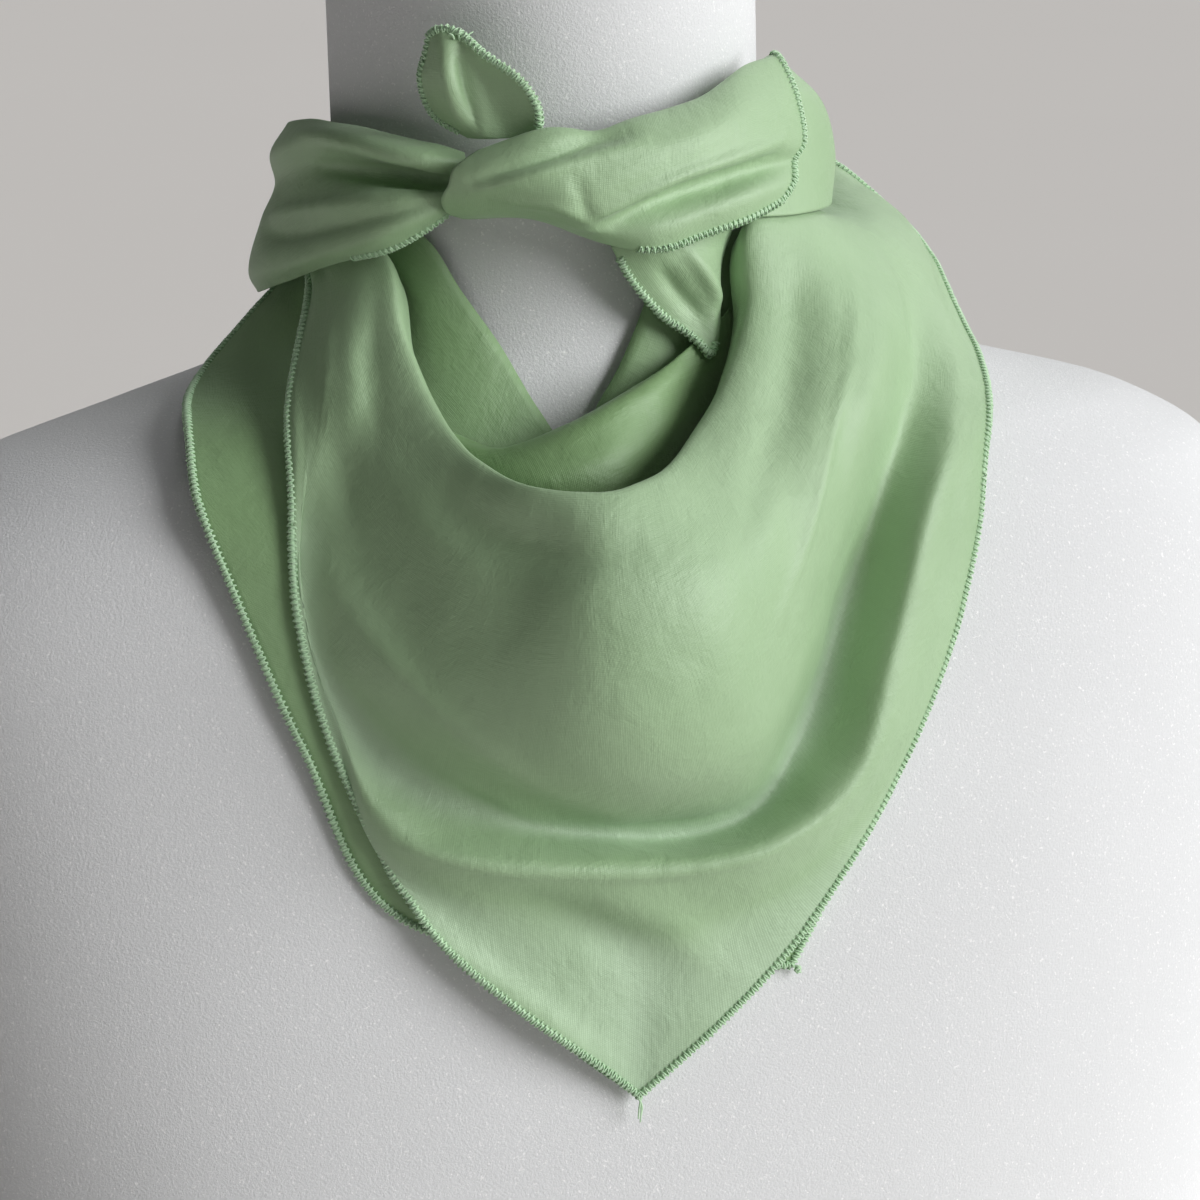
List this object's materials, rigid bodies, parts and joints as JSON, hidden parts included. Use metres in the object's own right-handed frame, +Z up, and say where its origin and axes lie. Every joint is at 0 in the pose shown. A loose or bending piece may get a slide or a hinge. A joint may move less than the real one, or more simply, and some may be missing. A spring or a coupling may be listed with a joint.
{
  "type": "silk square scarf on a limbless dress form",
  "caption": "Green silk square, folded to a triangle and worn point to the front, its ends crossed at the nape and knotted at the throat of a white limbless dress form.",
  "frame": {"origin": "middle of the dress form's flat base", "axes": "+Z up, -Y to the front of the form, where the scarf's point hangs, +X to the viewer's right when facing it"},
  "size_m": [0.398, 0.2331, 0.368],
  "materials": {
    "silk": "sage green plain-weave silk with a soft sheen",
    "form_cover": "white, fine flocked surface, matte"
  },
  "bodies": {
    "root": {"form_body": "form_cover", "under_drape": "silk", "cowl_roll": "silk", "front_drape": "silk", "nape_band_under": "silk", "left_wrap": "silk", "right_wrap": "silk", "nape_band_over": "silk", "knot_core": "silk", "right_flap": "silk", "upper_tail": "silk", "lower_tail": "silk"}
  },
  "joints": []
}
